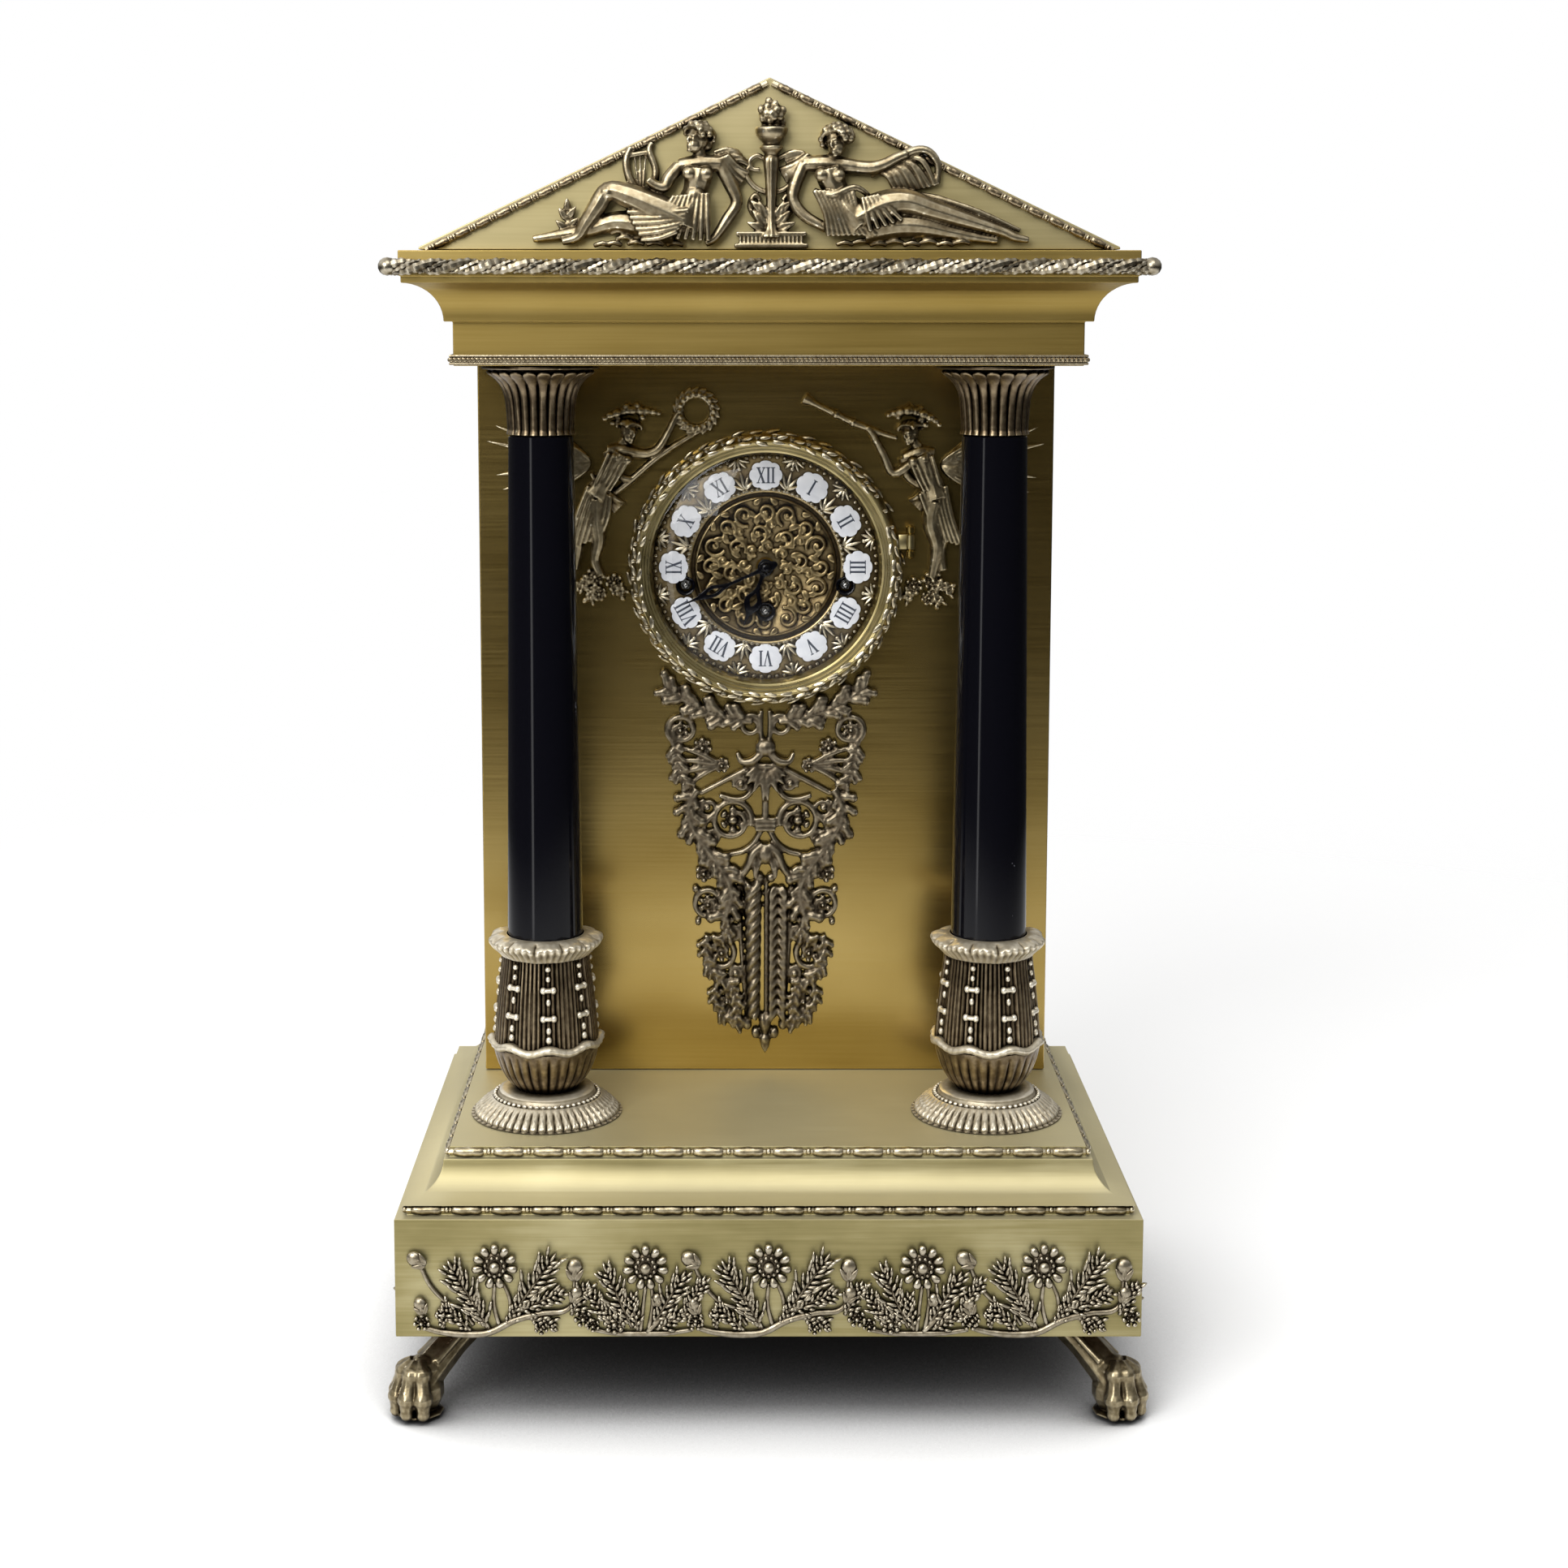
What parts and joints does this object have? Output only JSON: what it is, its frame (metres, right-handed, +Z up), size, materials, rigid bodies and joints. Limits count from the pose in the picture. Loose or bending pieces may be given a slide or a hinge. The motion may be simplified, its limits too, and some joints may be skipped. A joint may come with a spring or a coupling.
{
  "type": "architectural mantel clock",
  "caption": "Brass temple-front mantel clock with dark columns, gabled pediment, paw feet, relief mounts, a hinged glazed dial and a key-wound chiming movement behind a rear door.",
  "frame": {"origin": "floor level under the middle of the base", "axes": "+Z up, the dial faces -Y, +X to the right of a viewer in front"},
  "size_m": [0.285, 0.215, 0.4917],
  "materials": {
    "sheet_brass": "satin brushed sheet brass",
    "cast_brass": "antique gilt cast brass with dark recesses",
    "black_lacquer": "glossy black lacquer",
    "enamel": "glossy white enamel",
    "glass": "clear domed glass",
    "movement_brass": "lacquered movement brass",
    "steel": "bright steel",
    "cast_iron": "grey painted iron",
    "base_board": "stained board"
  },
  "bodies": {
    "case": {"foot_front_left": "cast_brass", "foot_front_right": "cast_brass", "foot_back_left": "cast_brass", "foot_back_right": "cast_brass", "base_plinth": "sheet_brass", "base_middle_ribbon": "cast_brass", "base_top_ribbon": "cast_brass", "bottom_board": "base_board", "base_front_mount": "cast_brass", "base_left_mount": "cast_brass", "base_right_mount": "cast_brass", "case_shell": "sheet_brass", "column_foot_left": "cast_brass", "column_drum_left": "cast_brass", "column_shaft_left": "black_lacquer", "column_capital_left": "cast_brass", "column_tie_rod_left": "steel", "column_foot_right": "cast_brass", "column_drum_right": "cast_brass", "column_shaft_right": "black_lacquer", "column_capital_right": "cast_brass", "column_tie_rod_right": "steel", "entablature": "sheet_brass", "bead_strip": "cast_brass", "cornice_rope": "cast_brass", "pediment": "sheet_brass", "rake_moulding_left": "cast_brass", "rake_moulding_right": "cast_brass", "pediment_figure_left": "cast_brass", "pediment_figure_right": "cast_brass", "pediment_torch": "cast_brass", "spandrel_figure_left": "cast_brass", "spandrel_figure_right": "cast_brass", "pendant_mount": "cast_brass", "dial_plate": "cast_brass", "chapter_ring": "enamel", "movement_front_plate": "movement_brass", "movement_back_plate": "movement_brass", "balance_bridge": "movement_brass", "chime_block": "cast_iron"},
    "bezel_door": {"dial_bezel": "cast_brass", "bezel_glass": "glass"},
    "back_door": {"rear_door": "sheet_brass"},
    "minute_train": {"centre_wheel": "movement_brass", "minute_hand": "black_lacquer"},
    "hour_train": {"hour_wheel": "movement_brass", "hour_hand": "black_lacquer"},
    "motion_wheel": {"minute_wheel": "movement_brass"},
    "intermediate_train": {"intermediate_wheel": "movement_brass"},
    "going_drum": {"going_barrel": "movement_brass"},
    "third_train": {"third_wheel": "movement_brass"},
    "escape_train": {"escape_wheel": "movement_brass"},
    "strike_drum": {"strike_barrel": "movement_brass"},
    "chime_drum": {"chime_barrel": "movement_brass"},
    "going_key_arbor": {"going_winding_arbor": "steel"},
    "strike_key_arbor": {"strike_winding_arbor": "steel"},
    "chime_key_arbor": {"chime_winding_arbor": "steel"},
    "pallets": {"pallet_lever": "steel"},
    "balance": {"balance_wheel": "movement_brass"},
    "hammers": {"hammer_bank": "steel"}
  },
  "joints": [
    {"name": "bezel_swing", "type": "hinge", "parent": "case", "child": "bezel_door", "pos_m": [0.0574, 0.0047, 0.3171], "axis": [0, 0, 1], "range_deg": [0, 90]},
    {"name": "rear_door_swing", "type": "hinge", "parent": "case", "child": "back_door", "pos_m": [-0.1109, 0.0841, 0.244], "axis": [0, 0, 1], "range_deg": [0, 110]},
    {"name": "minute_turn", "type": "hinge", "parent": "case", "child": "minute_train", "pos_m": [0, 0.04, 0.3064], "axis": [0, 1, 0], "continuous": true},
    {"name": "hour_turn", "type": "hinge", "parent": "case", "child": "hour_train", "pos_m": [0, 0.04, 0.3064], "axis": [0, 1, 0], "continuous": true},
    {"name": "motion_wheel_turn", "type": "hinge", "parent": "case", "child": "motion_wheel", "pos_m": [-0.00778, 0.04, 0.31418], "axis": [0, 1, 0], "continuous": true},
    {"name": "intermediate_turn", "type": "hinge", "parent": "case", "child": "intermediate_train", "pos_m": [0.01385, 0.04, 0.30064], "axis": [0, 1, 0], "continuous": true},
    {"name": "going_barrel_turn", "type": "hinge", "parent": "case", "child": "going_drum", "pos_m": [0, 0.04, 0.2884], "axis": [0, 1, 0], "continuous": true},
    {"name": "third_turn", "type": "hinge", "parent": "case", "child": "third_train", "pos_m": [0.00715, 0.04, 0.31879], "axis": [0, 1, 0], "continuous": true},
    {"name": "escape_turn", "type": "hinge", "parent": "case", "child": "escape_train", "pos_m": [0.0004, 0.04, 0.3305], "axis": [0, 1, 0], "continuous": true},
    {"name": "strike_barrel_turn", "type": "hinge", "parent": "case", "child": "strike_drum", "pos_m": [-0.032, 0.04, 0.2989], "axis": [0, 1, 0], "continuous": true},
    {"name": "chime_barrel_turn", "type": "hinge", "parent": "case", "child": "chime_drum", "pos_m": [0.032, 0.04, 0.2989], "axis": [0, 1, 0], "continuous": true},
    {"name": "going_winding", "type": "hinge", "parent": "case", "child": "going_key_arbor", "pos_m": [0, 0.04, 0.2884], "axis": [0, 1, 0], "continuous": true},
    {"name": "strike_winding", "type": "hinge", "parent": "case", "child": "strike_key_arbor", "pos_m": [-0.032, 0.04, 0.2989], "axis": [0, 1, 0], "continuous": true},
    {"name": "chime_winding", "type": "hinge", "parent": "case", "child": "chime_key_arbor", "pos_m": [0.032, 0.04, 0.2989], "axis": [0, 1, 0], "continuous": true},
    {"name": "balance_swing", "type": "hinge", "parent": "case", "child": "balance", "pos_m": [-0.01326, 0.04, 0.33056], "axis": [0, 1, 0], "range_deg": [-120, 120], "stiffness_Nm_per_rad": 0.00002},
    {"name": "pallet_rock", "type": "hinge", "parent": "case", "child": "pallets", "pos_m": [-0.00757, 0.04, 0.33263], "axis": [0, 1, 0], "range_deg": [-3, 3]},
    {"name": "hammer_lift", "type": "hinge", "parent": "case", "child": "hammers", "pos_m": [-0.044, 0.04, 0.2694], "axis": [0, 1, 0], "range_deg": [0, 15]}
  ],
  "couplings": [
    {"joint": "hour_turn", "follows": "minute_turn", "ratio": 0.083333},
    {"joint": "motion_wheel_turn", "follows": "minute_turn", "ratio": -0.33333},
    {"joint": "intermediate_turn", "follows": "minute_turn", "ratio": -0.25},
    {"joint": "going_barrel_turn", "follows": "minute_turn", "ratio": 0.041667},
    {"joint": "third_turn", "follows": "minute_turn", "ratio": -8},
    {"joint": "escape_turn", "follows": "minute_turn", "ratio": 60},
    {"joint": "pallet_rock", "follows": "balance_swing", "ratio": 0.025}
  ]
}
